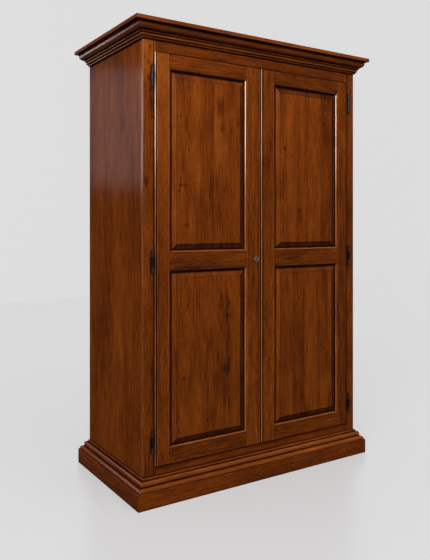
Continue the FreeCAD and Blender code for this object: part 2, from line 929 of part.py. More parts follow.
guide_screws = []
for up in (1, -1):
    level = bolt_levels(up)
    for away in (size.screw_edge_distance, size.guide_height - size.screw_edge_distance):
        guide_screws.append((size.bolt_middle_distance, level(size.guide_end_gap + away)))

right_screws = keeper_screws + guide_screws

for door, toward in (("left", -1), ("right", 1)):
    inward = -toward
    left_end = ordered(opening_outer * toward, opening_inner * toward)[0]
    rail_length = opening_outer - opening_inner
    rails = {
        "bottom": (as_size(0), size.bottom_rail_height),
        "middle": (middle_rail_level - door_bottom, middle_rail_top - door_bottom),
        "top": (door_height - size.top_rail_height, door_height),
    }
    panels = {
        "lower": (rails["bottom"][1], rails["middle"][0]),
        "upper": (rails["middle"][1], rails["top"][0]),
    }
    runs = [(1, low, high) for low, high in panels.values()]
    upright = (0, 0, 1), 0

    hinge_stile = door_member(
        (door_outer * toward, frame_face, door_bottom), *upright, inward,
        size.hinge_stile_width, door_height, lipped_edge(), runs,
    )
    cut_mortises(hinge_stile, inward, size.hinge_stile_width, rails.values())
    hole_radius = size.door_shank_radius + size.shank_clearance
    hole_reach = size.door_shank_length + size.shank_clearance
    holes = [door_shank(toward, height, hole_radius, hole_reach) for height in hinge_heights]
    keep(f"{door}_door_hinge_stile", cut(hinge_stile, *holes))

    meeting_stile = door_member(
        (door_meeting * toward, frame_face, door_bottom), *upright, toward,
        size.meeting_stile_width, door_height, meeting_edge(), runs,
    )
    cut_mortises(meeting_stile, toward, size.meeting_stile_width, rails.values())
    holes = [screw_hole(spot) for spot in (lock_screws if door == "left" else right_screws)]
    if door == "left":
        through = door_back - door_face
        holes.append(rod(size.keyhole_radius, through, (key_x, door_face, middle_height), *shank_turn))
        half_slot = size.keyhole_slot_width / 2
        slot_z = (middle_height - size.keyhole_slot_length, middle_height)
        holes.append(box((key_x - half_slot, key_x + half_slot), (door_face, door_back), slot_z))
    keep(f"{door}_door_meeting_stile", cut(meeting_stile, *holes))

    # A rail lies along X: its own X runs down, so its first edge is on top, or below it where it is turned over
    lying = (0, 1, 0), 90
    for name, level, over, height, edge_runs in (
        ("bottom", door_bottom, -1, size.bottom_rail_height, (1,)),
        ("middle", middle_rail_top, 1, size.middle_rail_height, (0, 1)),
        ("top", door_top, 1, size.top_rail_height, (1,)),
    ):
        stretches = [(side, as_size(0), rail_length) for side in edge_runs]
        rail = door_member(
            (left_end, frame_face, level), *lying, over, height, rail_length, plain_edge(), stretches,
        )
        add_tenons(rail, over, height, rail_length)
        keep(f"{door}_door_{name}_rail", rail)

    opening_x = ordered(opening_outer * toward, opening_inner * toward)
    for name, (low, high) in panels.items():
        keep(f"{door}_door_{name}_panel", raised_panel(opening_x, (door_bottom + low, door_bottom + high)))


# Hinges: a frame half with a fixed pin, and a door half that turns on it, each with a turned finial

def knuckle(toward, height, up, bore_fit):
    """One half of a barrel hinge, turned about its own Z: knuckle, two rings and a ball.

    The ball meets its neck 0.6 of its radius out from the axis, which is 0.8 of its radius below its middle.
    """
    bore = size.pin_radius + bore_fit
    radius = size.knuckle_radius
    neck = size.finial_ball_radius * 0.6
    swell = size.finial_ring_radius - neck
    start = size.knuckle_gap / 2
    chamfer = size.knuckle_chamfer_width
    outline = [
        (bore, start),
        (radius, start),
        (radius, size.knuckle_height - chamfer),
        (radius - chamfer, size.knuckle_height),
        (neck, size.knuckle_height),
    ]
    level = size.knuckle_height
    for _ in range(2):
        low = level + size.finial_neck_length
        high = low + size.finial_ring_height
        outline += [
            (neck, low),
            (neck + swell, low + swell, neck, low + swell),
            (neck + swell, high - swell),
            (neck, high, neck, high - swell),
        ]
        level = high
    ball = level + size.finial_neck_length + size.finial_ball_radius * 0.8
    depth = size.pin_half_length + size.pin_end_gap
    outline += [
        (neck, level + size.finial_neck_length),
        (size.finial_ball_radius, ball, 0, ball),
        (0, ball + size.finial_ball_radius, 0, ball),
        (0, depth),
        (bore, depth),
    ]
    corners = []
    for corner in outline:
        numbers = [as_size(number) for number in corner]
        corners.append([number * up if i % 2 else number for i, number in enumerate(numbers)])
    body = new_body()
    sketch = draw(body, "XZ_Plane", [corners])
    turned = body.newObject("PartDesign::Revolution", "Turned")
    turned.Profile = sketch
    turned.ReferenceAxis = (sketch, ["V_Axis"])
    turned.Angle = 360
    place(body, hinge_x * toward, hinge_y, height)
    return body


frame_halves = []
pins = []
for door, toward in (("left", -1), ("right", 1)):
    door_halves = []
    for height in hinge_heights:
        shank = frame_shank(toward, height, size.frame_shank_radius, frame_shank_reach)
        frame_halves.append(fuse(knuckle(toward, height, -1, size.pin_seat_clearance), shank))
        shank = door_shank(toward, height, size.door_shank_radius, size.door_shank_length)
        door_halves.append(fuse(knuckle(toward, height, 1, size.pin_running_clearance), shank))
        spot = (hinge_x * toward, hinge_y, height - size.pin_half_length)
        pins.append(rod(size.pin_radius, 2 * size.pin_half_length, spot))
    keep(f"{door}_hinge_door_halves", group(*door_halves))
keep("hinge_frame_halves", group(*frame_halves))
keep("hinge_pins", group(*pins))


# Lock: an open-fronted case screwed to the back of the left door, with the bolt drawn in

case = box((case_start, case_end), (door_back, case_back), (case_bottom, case_top))
flange_z = (case_bottom - size.flange_height, case_top + size.flange_height)
flange = box((case_start, case_end), (door_back, door_back + size.flange_thickness), flange_z)
wall = size.case_wall_thickness
hollow = box(
    (case_start + wall, case_end - wall),
    (door_back, case_back - wall),
    (case_bottom + wall, case_top - wall),
)
bolt_y = (door_back + wall, door_back + wall + size.lock_bolt_thickness)
fit = size.lock_bolt_clearance
slot = box(
    (case_end - wall - fit, case_end + fit),
    (bolt_y[0] - fit, bolt_y[1] + fit),
    (bolt_low - fit, bolt_high + fit),
)
pivot_radius = size.key_radius + size.key_clearance
pivot = rod(pivot_radius, size.case_depth, (key_x, door_back, middle_height), *shank_turn)
case_screw_holes = [screw_hole(spot) for spot in lock_screws]
keep("lock_case", cut(fuse(case, flange), hollow, slot, pivot, *case_screw_holes))
keep("lock_screws", group(*[screw(spot) for spot in lock_screws]))

bolt_x = (key_x - size.lock_bolt_tail_length, case_end - size.lock_bolt_end_gap)
bolt_bar = box(bolt_x, bolt_y, (bolt_low, bolt_high))
talon_x = (key_x - size.talon_start_distance - size.talon_width, key_x - size.talon_start_distance)
talon = box(talon_x, bolt_y, (bolt_low, bolt_low + size.talon_depth))
keep("lock_bolt", cut(bolt_bar, talon))


# Key: a round stem with a bit inside the case, and outside the door a collar, an open lozenge bow and a drop

bow_near = door_face - size.key_stem_length
bow_middle = bow_near - size.bow_length / 2


def lozenge(length, height):
    """The four corners of the bow, about its middle."""
    return [(length / 2, 0), (0, height / 2), (-length / 2, 0), (0, -height / 2)]


bow = new_body()
slant = math.hypot(size.bow_length.value, size.bow_height.value)
inner_length = size.bow_length - size.bow_bar_width * (2 * slant / size.bow_height.value)
inner_height = size.bow_height - size.bow_bar_width * (2 * slant / size.bow_length.value)
lozenges = [lozenge(size.bow_length, size.bow_height), lozenge(inner_length, inner_height)]
flat_bow = pad(bow, draw(bow, "YZ_Plane", lozenges, -size.bow_thickness / 2), size.bow_thickness)
doc.recompute()
corners = []
for number, edge in enumerate(bow.Shape.Edges, 1):
    ends = [vertex.Point for vertex in edge.Vertexes]
    if abs(ends[0].x - ends[1].x) > size.bow_thickness.value / 2:
        corners.append(f"Edge{number}")
rounded = bow.newObject("PartDesign::Fillet", "Rounded")
rounded.Base = (flat_bow, corners)
rounded.setExpression("Radius", size.bow_corner_radius.text)
bow.Tip = rounded
place(bow, key_x, bow_middle, middle_height)

stem_start = bow_near - size.bow_bar_width
stem_length = case_back - stem_start
stem = rod(size.key_radius, stem_length, (key_x, stem_start, middle_height), *shank_turn)
collar_spot = (key_x, bow_near, middle_height)
collar = rod(size.key_collar_radius, size.key_collar_length, collar_spot, *shank_turn)
half_bit = size.key_bit_width / 2
bit = box(
    (key_x - half_bit, key_x + half_bit),
    (bolt_y[0], bolt_y[0] + size.key_bit_length),
    (middle_height - size.key_bit_radius, middle_height),
)
drop_top = middle_height - size.bow_height / 2 + size.bow_bar_width
drop = doc.addObject("Part::Cone", "Drop")
drop.setExpression("Radius1", size.drop_radius.text)
drop.setExpression("Radius2", size.drop_neck_radius.text)
drop.setExpression("Height", size.drop_length.text)
place(drop, key_x, bow_middle, drop_top - size.drop_length)
drop_end = doc.addObject("Part::Sphere", "DropEnd")
drop_end.setExpression("Radius", size.drop_radius.text)
place(drop_end, key_x, bow_middle, drop_top - size.drop_length)
keep("key", fuse(bow, stem, collar, bit, drop, drop_end))


# Keeper on the back of the right door, in the lock bolt's path

keeper = box(keeper_x, (door_back, case_back), keeper_z)
keeper_flange_z = (keeper_z[0] - size.flange_height, keeper_z[1] + size.flange_height)
keeper_flange = box(keeper_x, (door_back, door_back + size.flange_thickness), keeper_flange_z)
keeper_pocket = box(
    (size.keeper_end_gap, size.keeper_end_gap + size.keeper_length - size.keeper_wall_thickness),
    (bolt_y[0] - size.keeper_clearance, bolt_y[1] + size.keeper_clearance),
    (bolt_low - size.keeper_clearance, bolt_high + size.keeper_clearance),
)
keeper_holes = [screw_hole(spot) for spot in keeper_screws]
keep("lock_keeper", cut(fuse(keeper, keeper_flange), keeper_pocket, *keeper_holes))


# Bolts of the right door: a round bar with a knob, in the two staples of a guide plate, drawn clear of its hole

def door_bolt(name, up):
    level = bolt_levels(up)
    x = size.bolt_middle_distance
    half_guide = size.guide_width / 2
    half_staple = size.staple_width / 2
    guide_ends = (size.guide_end_gap, size.guide_end_gap + size.guide_height)
    plate = box(
        (x - half_guide, x + half_guide),
        (door_back, door_back + size.flange_thickness),
        ordered(level(guide_ends[0]), level(guide_ends[1])),
    )
    staple_y = (door_back, bolt_line + size.bolt_radius + size.staple_wall_thickness)
    staples = []
    for start in (size.staple_end_distance, size.guide_height - size.staple_end_distance - size.staple_height):
        near = size.guide_end_gap + start
        ends = ordered(level(near), level(near + size.staple_height))
        staples.append(box((x - half_staple, x + half_staple), staple_y, ends))
    low = ordered(level(size.bolt_end_gap), level(size.bolt_end_gap + size.bolt_length))[0]
    bore = rod(size.bolt_radius + size.bolt_clearance, size.bolt_length, (x, bolt_line, low))
    spots = [spot for spot in guide_screws if (spot[1].value > doorway_middle.value) == (up > 0)]
    guide = cut(fuse(plate, *staples), bore, *[screw_hole(spot) for spot in spots])
    keep(f"{name}_bolt_guide", guide)
    bar = rod(size.bolt_radius, size.bolt_length, (x, bolt_line, low))
    knob_level = level(size.guide_end_gap + size.guide_height / 2 + size.bolt_end_gap * 2)
    knob_reach = size.bolt_radius + size.bolt_knob_length
    knob = rod(size.bolt_knob_radius, knob_reach, (x, bolt_line, knob_level), *shank_turn)
    keep(f"{name}_bolt", fuse(bar, knob))


door_bolt("upper", 1)
door_bolt("lower", -1)
keep("right_door_screws", group(*[screw(spot) for spot in right_screws]))


# Checks, then one file for each piece

doc.recompute()
for thing in doc.Objects:
    if "Invalid" in thing.State or "Error" in thing.State:
        raise RuntimeError(f"{thing.Label} did not build: {thing.State}")
for thing in nodes:
    if thing.Shape.isNull() or not thing.Shape.isValid():
        raise RuntimeError(f"{thing.Label} has no valid solid")

os.makedirs("parts", exist_ok=True)
for thing in nodes:
    thing.Shape.exportStep(f"parts/{thing.Label}.step")
print(f"{len(nodes)} pieces")
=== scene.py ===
"""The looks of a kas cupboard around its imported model, in metres, with the doors facing -Y."""

import json
import math

import bpy
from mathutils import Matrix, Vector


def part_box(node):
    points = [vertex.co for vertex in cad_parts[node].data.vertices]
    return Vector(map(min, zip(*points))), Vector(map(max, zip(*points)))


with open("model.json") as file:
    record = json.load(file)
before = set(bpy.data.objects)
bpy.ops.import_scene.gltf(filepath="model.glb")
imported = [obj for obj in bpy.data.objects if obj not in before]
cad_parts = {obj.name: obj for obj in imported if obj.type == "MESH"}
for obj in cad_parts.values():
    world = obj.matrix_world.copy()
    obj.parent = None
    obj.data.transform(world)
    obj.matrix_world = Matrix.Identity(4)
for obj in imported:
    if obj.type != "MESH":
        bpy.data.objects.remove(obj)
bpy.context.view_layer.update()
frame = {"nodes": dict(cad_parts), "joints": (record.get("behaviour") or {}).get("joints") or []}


# Plinth: four boards of stained hardwood that stand on the floor, mitred at the corners.
# The grain runs along each board. Brown stain is rubbed on by hand under a thin satin lacquer, and corners
# and quirks are darkened with painted shade together with dark wax.

class Wire:
    """A shader socket that takes part in arithmetic: each operator adds a Math node to its tree."""

    def __init__(self, tree, socket):
        self.tree = tree
        self.socket = socket

    def node(self, kind, settings=None, inputs=None, output=0):
        """A new node in the same tree: its settings are set first, then its sockets' values or links."""
        made = self.tree.nodes.new(kind)
        for name, value in (settings or {}).items():
            if name == "stops":
                ramp = made.color_ramp
                while len(ramp.elements) < len(value):
                    ramp.elements.new(1.0)
                for element, (place, colour) in zip(ramp.elements, value):
                    element.position = place
                    element.color = (*colour, 1.0)
            else:
                setattr(made, name, value)
        for name, value in (inputs or {}).items():
            if isinstance(value, Wire):
                self.tree.links.new(value.socket, made.inputs[name])
            else:
                made.inputs[name].default_value = value
        return Wire(self.tree, made.outputs[output])

    def other(self, output):
        """Another output of the node that this wire leaves."""
        return Wire(self.tree, self.socket.node.outputs[output])

    def math(self, operation, *others):
        """A Math node whose first input is this wire."""
        return self.node("ShaderNodeMath", {"operation": operation}, dict(enumerate((self, *others))))

    def __add__(self, other):
        return self.math("ADD", other)

    def __sub__(self, other):
        return self.math("SUBTRACT", other)

    def __mul__(self, other):
        return self.math("MULTIPLY", other)

    def __truediv__(self, other):
        return self.math("DIVIDE", other)

    def __rsub__(self, other):
        return self.node("ShaderNodeMath", {"operation": "SUBTRACT"}, {0: other, 1: self})

    __radd__ = __add__
    __rmul__ = __mul__

    def rise(self, low, high):
        """0 below low, 1 above high, and a smooth rise between them."""
        inputs = {"Value": self, "From Min": low, "From Max": high}
        return self.node("ShaderNodeMapRange", {"interpolation_type": "SMOOTHSTEP"}, inputs)

    def noise(self, detail=2.0, roughness=0.5):
        """Noise about 0, mostly within 0.3 of it, at a point that is already scaled."""
        inputs = {"Vector": self, "Scale": 1.0, "Detail": detail, "Roughness": roughness}
        return self.node("ShaderNodeTexNoise", None, inputs) - 0.5


def new_material(name):
    """A principled material: the material, a wire of object coordinates, and the shader's sockets."""
    material = bpy.data.materials.new(name)
    material.use_nodes = True
    tree = material.node_tree
    coordinates = tree.nodes.new("ShaderNodeTexCoord")
    return material, Wire(tree, coordinates.outputs["Object"]), tree.nodes["Principled BSDF"].inputs


STAIN = [
    (0.00, (0.020, 0.0055, 0.0022)),
    (0.25, (0.068, 0.0148, 0.0036)),
    (0.42, (0.112, 0.0232, 0.0030)),
    (0.55, (0.159, 0.0331, 0.0040)),
    (0.72, (0.215, 0.0500, 0.0058)),
    (1.00, (0.310, 0.0900, 0.0110)),
]
MIDDLE_SHADE = 0.52
GRAIN_ORDER = {"x": ("Z", "Y", "X"), "y": ("Z", "X", "Y"), "z": ("X", "Y", "Z")}
# Waves in a metre across the grain and along it, then the noise's detail and roughness
GRAIN_LAYERS = {
    "bend": (5.0, 0.8, 2.0, 0.5),
    "wobble": (25.0, 2.0, 2.0, 0.5),
    "broad": (8.0, 1.6, 2.0, 0.5),
    "cloud": (28.0, 8.0, 3.0, 0.5),
    "streak": (110.0, 6.0, 3.0, 0.65),
    "fine": (420.0, 22.0, 3.0, 0.6),
    "dash": (330.0, 34.0, 1.0, 0.5),
    "pore": (1100.0, 55.0, 1.0, 0.5),
}
LAYER_STRENGTH = {
    "broad": 0.50, "cloud": 0.44, "streak": 0.46, "fine": 0.62, "late": 0.06, "dash": 0.13, "pore": 0.14,
}
RING_SPACING = 0.009
PITH_DEPTH = 0.07
STRIP_CONTRAST = 0.11
KNOT_CELLS = (22.0, 15.0)
KNOT_STRENGTH = 0.48
LACQUER_ROUGHNESS = 0.17


def stained_wood(name, grain, seed, tone=0.0, strip=None, figure=1.0, marks=(), specks=0.0,
                 lines=(), wax_and_shade=1.0, reach=0.010, gloss=0.03, relief=None):
    """Stained wood as a solid, so that faces, edges and ends of a piece agree.

    Growth rings are the distance from a pith line along the grain, bent by slow noise. Clouds and streaks
    are noise drawn out along the grain at four scales, and dashes and pores are short dark lines: figure is
    how strong the fine ones are. strip is the width of glued-up strips, each with its own tone and figure.
    marks are patches given as (across, along, half width, half length, strength), dark where the strength
    is over 0. specks is the share of 45 mm cells with a pin knot. lines are dark bands, given as
    ("across" or "along", place, half width, strength): dark wax in a joint, or painted shade in a quirk or
    under a projecting part, and a painted highlight on a bead or arris where the strength is under 0.
    wax_and_shade is how far ambient occlusion darkens the corners, as far out as reach: painted shade
    together with dark wax. gloss is the lacquer's coat, which that corner shade and the dark bands dull.
    relief holds the painted light and shade, rubbing and polish of a moulded front: see moulded_front.
    """
    material, point, sockets = new_material(name)
    split = point.node("ShaderNodeSeparateXYZ", None, {"Vector": point})
    across, depth, along = [split.other(letter) for letter in GRAIN_ORDER[grain]]
    spot = {"across": across, "along": along}
    shade = tone + MIDDLE_SHADE
    if strip:
        number = (across / strip + seed * 0.37).math("FLOOR") + seed * 7.3
        own = number.node("ShaderNodeTexWhiteNoise", {"noise_dimensions": "1D"}, {"W": number})
        across = across + own * 0.9
        along = along + own * 5.0
        shade = (own - 0.5) * STRIP_CONTRAST + shade

    def drawn(cross, length):
        """The point in waves of the grain: so many in a metre across it, and so many along it."""
        inputs = {"X": across * cross + seed * 3.1, "Y": depth * cross + seed * 1.7}
        return point.node("ShaderNodeCombineXYZ", None, {**inputs, "Z": along * length + seed})

    def layer(kind):
        """One of the grain's layers of noise."""
        cross, length, detail, roughness = GRAIN_LAYERS[kind]
        return drawn(cross, length).noise(detail, roughness)

    bend = layer("bend")
    ring_across = across + bend * 0.05 + math.sin(seed) * 0.05
    ring_depth = depth + bend * 0.03 + PITH_DEPTH + math.cos(seed) * 0.03
    radius = (ring_across * ring_across + ring_depth * ring_depth).math("SQRT")
    ring = (radius / RING_SPACING + layer("wobble") * 1.8).math("FRACT")
    late = ring * ring
    cloud = layer("cloud")
    streak = layer("streak")
    fine = layer("fine")
    dash = layer("dash").rise(0.08, 0.22)
    pore = layer("pore").rise(0.13, 0.25)
    value = layer("broad") * LAYER_STRENGTH["broad"] + cloud * LAYER_STRENGTH["cloud"]
    value = value + streak * (LAYER_STRENGTH["streak"] * figure) + fine * (LAYER_STRENGTH["fine"] * figure)
    value = value + shade - late * LAYER_STRENGTH["late"]
    value = value - dash * (LAYER_STRENGTH["dash"] * figure) - pore * (LAYER_STRENGTH["pore"] * figure)
    for mark_across, mark_along, half_width, half_length, strength in marks:
        x = (spot["across"] - mark_across) / half_width
        z = (spot["along"] - mark_along) / half_length
        away = (x * x + z * z).math("SQRT") + streak * 1.8 + cloud * 1.4
        value = value - (1.0 - away.rise(0.3, 1.2)) * strength
    if specks:
        cells = drawn(*KNOT_CELLS)
        knot = cells.node("ShaderNodeTexVoronoi", None, {"Vector": cells, "Scale": 1.0})
        chance = knot.node("ShaderNodeSeparateColor", None, {"Color": knot.other("Color")})
        chosen = chance.rise(1.0 - specks, 1.02 - specks)
        value = value - (1.0 - knot.rise(0.03, 0.13)) * chosen * KNOT_STRENGTH
    # Painted shade with dark wax: ambient occlusion darkens the colour in corners and crevices and dulls
    # the coat.
    around = {"samples": 6, "only_local": False}
    unshaded = point.node("ShaderNodeAmbientOcclusion", around, {"Distance": reach}, "AO").rise(0.25, 0.92)
    value = value - (1.0 - unshaded) * wax_and_shade
    # Dark bands: dark wax in joints, painted shade in quirks and under projecting parts, painted highlights
    # under 0.
    for axis, place, half_width, strength in lines:
        off = (spot[axis] - place).math("ABSOLUTE").rise(half_width * 0.3, half_width)
        value = value - (1.0 - off) * strength
        if strength > 0.0:
            unshaded = unshaded * off
    coat = unshaded * gloss
    if relief:
        value, coat = moulded_front(point, split.other("Y"), value, coat, unshaded, **relief)
    colour = value.node("ShaderNodeValToRGB", {"stops": STAIN}, {"Fac": value})
    rough = fine * 0.12 + pore * 0.10 + 0.42
    height = fine * 0.5 - pore * 0.7 - late * 0.15
    bump = height.node("ShaderNodeBump", None, {"Height": height, "Strength": 0.2, "Distance": 0.0004})
    point.tree.links.new(colour.socket, sockets["Base Color"])
    point.tree.links.new(rough.socket, sockets["Roughness"])
    point.tree.links.new(bump.socket, sockets["Normal"])
    point.tree.links.new(coat.socket, sockets["Coat Weight"])
    sockets["Specular IOR Level"].default_value = 0.0
    sockets["Coat Roughness"].default_value = LACQUER_ROUGHNESS
    return material


def dress(node, material):
    """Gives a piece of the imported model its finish."""
    slots = frame["nodes"][node].data.materials
    slots.clear()
    slots.append(material)


RUNS = {"front": "x", "right": "y", "back": "x", "left": "y"}
PALE_PATCH = (0.035, -0.45, 0.08, 0.40, -0.13)
for number, (side, run) in enumerate(RUNS.items()):
    marks = [PALE_PATCH] if side == "front" else ()
    wood = stained_wood(f"plinth_{side}_wood", run, 1.3 + number, tone=-0.03, figure=1.5, marks=marks)
    dress(f"plinth_{side}_board", wood)


# Corner blocks and carcass boards: the blocks are glued into the plinth's mitres and carry the carcass.
# The bottom and top boards lie between the sides, and the cover board inside the cornice. All are of the
# same wood, glued up from strips and hardly polished.

dress("plinth_corner_blocks", stained_wood("corner_block_wood", "z", 11.0, tone=0.05))
for number, node in enumerate(("bottom_board", "top_board", "cornice_cover_board")):
    wood = stained_wood(f"{node}_wood", "x", 12.0 + number, tone=0.03, strip=0.11, gloss=0.008)
    dress(node, wood)


# Base mouldings: an ovolo, a ledge and a torus under a cap, run on one length of hardwood.
# They are mitred round the plinth's top, with painted shade lines in the quirks and painted shade in the
# corners. They are glossier than the boards, because a moulding takes more polish.

moulding_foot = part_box("base_moulding_front")[0].z
# Painted shade lines in the base moulding's quirks, where shadow falls.
BASE_SHADE_LINES = [
    ("across", moulding_foot + 0.0008, 0.0020, 0.6),
    ("across", moulding_foot + 0.0183, 0.0022, 0.6),
    ("across", moulding_foot + 0.0393, 0.0022, 0.6),
]
# Painted shade with dark wax in the mouldings' corners, reaching only a few millimetres.
MOULDING_CORNER_SHADE = {"wax_and_shade": 0.8, "reach": 0.004}
for number, (side, run) in enumerate(RUNS.items()):
    tone, gloss = (0.16, 0.13) if run == "x" else (0.05, 0.09)
    wood = stained_wood(
        f"base_moulding_{side}_wood", run, 21.3 + number, tone, lines=BASE_SHADE_LINES, gloss=gloss,
        **MOULDING_CORNER_SHADE)
    dress(f"base_moulding_{side}", wood)


# Sides: one broad flat board each, of stained hardwood, glued up from upright strips.
# Each is glued behind the face frame's stile. A painted shadow lies under the cornice, and a painted shade
# line over the base moulding.

moulding_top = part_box("base_moulding_front")[1].z
cornice_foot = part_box("cornice_front")[0].z
# Painted shadow under the cornice, and a painted shade line over the base moulding.
SIDE_SHADOW_LINES = [("along", cornice_foot - 0.002, 0.008, 0.6), ("along", moulding_top + 0.001, 0.006, 0.4)]
for number, side in enumerate(("left", "right")):
    wood = stained_wood(
        f"{side}_side_wood", "z", 31.0 + number, tone=0.065, strip=0.16, figure=1.2, lines=SIDE_SHADOW_LINES,
        gloss=0.014)
    dress(f"{side}_side", wood)


# Face frame: two stiles and two rails of stained hardwood, glued together round the doorway.
# Their joints show as V-grooves, and the outer arris is rounded by hand. The left stile is cut from knotty
# timber, paler at its head. Painted shade lines lie under the cornice, over the base moulding and along the
# doors' edges, and the frame's edges that look left or up are lightened as painted highlights.

def moulded_front(point, level, value, coat, unshaded, face, rub_and_highlight=0.0, bead_gloss=0.05, painted_side_shade=0.0,
                  painted_top_shade=0.0, step=None, foot=None):
    """Painted light and shade, rubbing and polish on a moulded front whose flat face is at the Y of face.

    Behind that face, edges that look left or up are lightened by rub_and_highlight, a painted highlight
    with some wear, and polished to bead_gloss, and those that look right or down are darkened by
    painted_side_shade, as painted shade. Bevels that look a little up are darkened by painted_top_shade, as
    painted shade, and those that look a little left are lightened as painted light. At the depth of step a
    thin line of painted shade lies in a corner, and from the depth of foot on, painted shade darkens the
    ground in front. The pairs of numbers are parts of the normal between which an effect sets in.
    """
    normal = Wire(point.tree, point.socket.node.outputs["Normal"])
    turn = normal.node("ShaderNodeSeparateXYZ", None, {"Vector": normal})
    left, right, up = turn.other("X") * -1.0, turn.other("X"), turn.other("Z")
    depth = level - face
    sunk = depth.rise(0.0001, 0.0007)
    # Painted light and shade: faces that look left or up are lightened, those that look right or down
    # darkened.
    wear_and_highlight = left.math("MAXIMUM", up).rise(0.25, 0.7) * sunk * unshaded
    value = value + wear_and_highlight * rub_and_highlight
    value = value - right.math("MAXIMUM", up * -1.0).rise(0.08, 0.22) * sunk * painted_side_shade
    # Painted shade on bevels that look a little up, painted light on those that look a little left.
    value = value - (up.rise(0.08, 0.15) - up.rise(0.25, 0.35)) * sunk * painted_top_shade
    value = value + (left.rise(0.08, 0.15) - left.rise(0.25, 0.35)) * sunk * (rub_and_highlight * 0.25)
    # Painted shade: a thin dark line at one depth, and a darkened ground from another depth on.
    if step:
        value = value - (1.0 - (depth - step).math("ABSOLUTE").rise(0.0001, 0.0005)) * 0.25
    if foot:
        front = 1.0 - turn.other("Y").rise(0.0, 0.5)
        value = value - depth.rise(foot, foot + 0.0020) * front * 0.8
    polished = (left.rise(0.2, 0.6) + up.rise(0.2, 0.6) * 0.45).math("MINIMUM", 1.0)
    return value, polished * sunk * unshaded * bead_gloss + coat


door_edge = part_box("right_door_hinge_stile")[1].x
# Painted highlights on the frame's edges that look left or up.
FRAME_FRONT = {"face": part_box("left_frame_stile")[0].y, "rub_and_highlight": 0.16, "bead_gloss": 0.045}
# Painted shade lines under the cornice, over the base moulding and beside the doors.
FRAME_SHADE_LINE = (0.005, 0.4)
KNOTS = [
    (-0.5645, 1.892, 0.004, 0.006, 0.45), (-0.589, 1.847, 0.006, 0.009, 0.4),
    (-0.572, 1.826, 0.006, 0.010, 0.4), (-0.572, 1.764, 0.007, 0.012, 0.35),
    (-0.5645, 1.713, 0.006, 0.009, 0.4), (-0.553, 1.655, 0.014, 0.090, 0.2),
    (-0.554, 1.602, 0.006, 0.010, 0.4), (-0.582, 1.335, 0.012, 0.030, 0.3),
    (-0.550, 0.520, 0.014, 0.120, 0.2), (-0.572, 1.880, 0.060, 0.150, -0.28),
    (-0.572, 0.140, 0.050, 0.060, 0.16),
]
for side, seed, marks, outward in (("left", 41.0, KNOTS, -1), ("right", 42.0, (), 1)):
    lines = [
        ("along", cornice_foot - 0.0015, *FRAME_SHADE_LINE), ("along", moulding_top + 0.001, *FRAME_SHADE_LINE),
        # Painted shade beside the door's edge.
        ("across", (door_edge + 0.0018) * outward, 0.0035, 0.5),
    ]
    wood = stained_wood(
        f"{side}_frame_stile_wood", "z", seed, figure=1.4, marks=marks, specks=0.3, lines=lines,
        relief=FRAME_FRONT)
    dress(f"{side}_frame_stile", wood)
# Painted shade lines on the frieze and bottom rail, next to the cornice, the moulding and the doors.
frieze_edges = (cornice_foot - 0.0015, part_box("frieze_rail")[0].z + 0.0013)
bottom_edges = (moulding_top + 0.001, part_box("bottom_rail")[1].z - 0.0017)
for node, seed, edges in (("frieze_rail", 45.0, frieze_edges), ("bottom_rail", 46.0, bottom_edges)):
    lines = [("across", edge, *FRAME_SHADE_LINE) for edge in edges]
    wood = stained_wood(f"{node}_wood", "x", seed, tone=-0.03, figure=1.1, lines=lines, relief=FRAME_FRONT)
    dress(node, wood)


# Back: a muntin and two rails of hardwood, grooved for two thin panels that are glued up from strips.
# It stands between the sides, which are grooved for the panels too, and is stained like the front.

dress("back_muntin", stained_wood("back_muntin_wood", "z", 51.0))
for number, node in enumerate(("back_top_rail", "back_bottom_rail")):
    dress(node, stained_wood(f"{node}_wood", "x", 52.0 + number))
for number, node in enumerate(("back_left_panel", "back_right_panel")):
    dress(node, stained_wood(f"{node}_wood", "z", 54.0 + number, tone=0.03, strip=0.12))


# Shelves: three boards glued up from strips, the grain across the cupboard.
# They lie loose on cleats that are fixed to the sides.

for number, node in enumerate(("lower_shelf", "middle_shelf", "upper_shelf")):
    dress(node, stained_wood(f"{node}_wood", "x", 61.0 + number, tone=0.04, strip=0.1))
dress("shelf_cleats", stained_wood("cleat_wood", "y", 65.0, tone=0.04))


# Cornice: a bead, a flat band, a bead, a swelling ovolo, a cove and a square lip, from the foot up.
# All run on one length of hardwood, which is mitred at the corners and glued round the carcass. Painted
# shade lines lie in the quirks and under the lip, and the flat top has no polish.

# Painted shade lines in the quirks and the cove under the lip; the last one only takes the polish off the
# top.
CORNICE_SHADE_LINES = [
    ("across", cornice_foot + 0.0083, 0.0020, 0.6),
    ("across", cornice_foot + 0.0210, 0.0015, 0.4),
    ("across", cornice_foot + 0.0288, 0.0020, 0.6),
    ("across", cornice_foot + 0.0560, 0.0055, 0.5),
    ("across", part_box("cornice_front")[1].z, 0.0030, 0.02),
]
for number, (side, run) in enumerate(RUNS.items()):
    tone, gloss = (0.08, 0.06) if run == "x" else (0.05, 0.08)
    wood = stained_wood(
        f"cornice_{side}_wood", run, 71.3 + number, tone, lines=CORNICE_SHADE_LINES, gloss=gloss, **MOULDING_CORNER_SHADE)
    dress(f"cornice_{side}", wood)


# Doors: two stiles and three rails each, of stained hardwood, tenoned together.
# A bead runs down each upright edge and an ovolo round each panel. The beads and ovolos that look left or
# up are lightened as painted highlights and polished, and those that look right or down are darkened as
# painted shade. Painted shade lines lie in the quirks, and dark wax in the joints between stiles and rails.

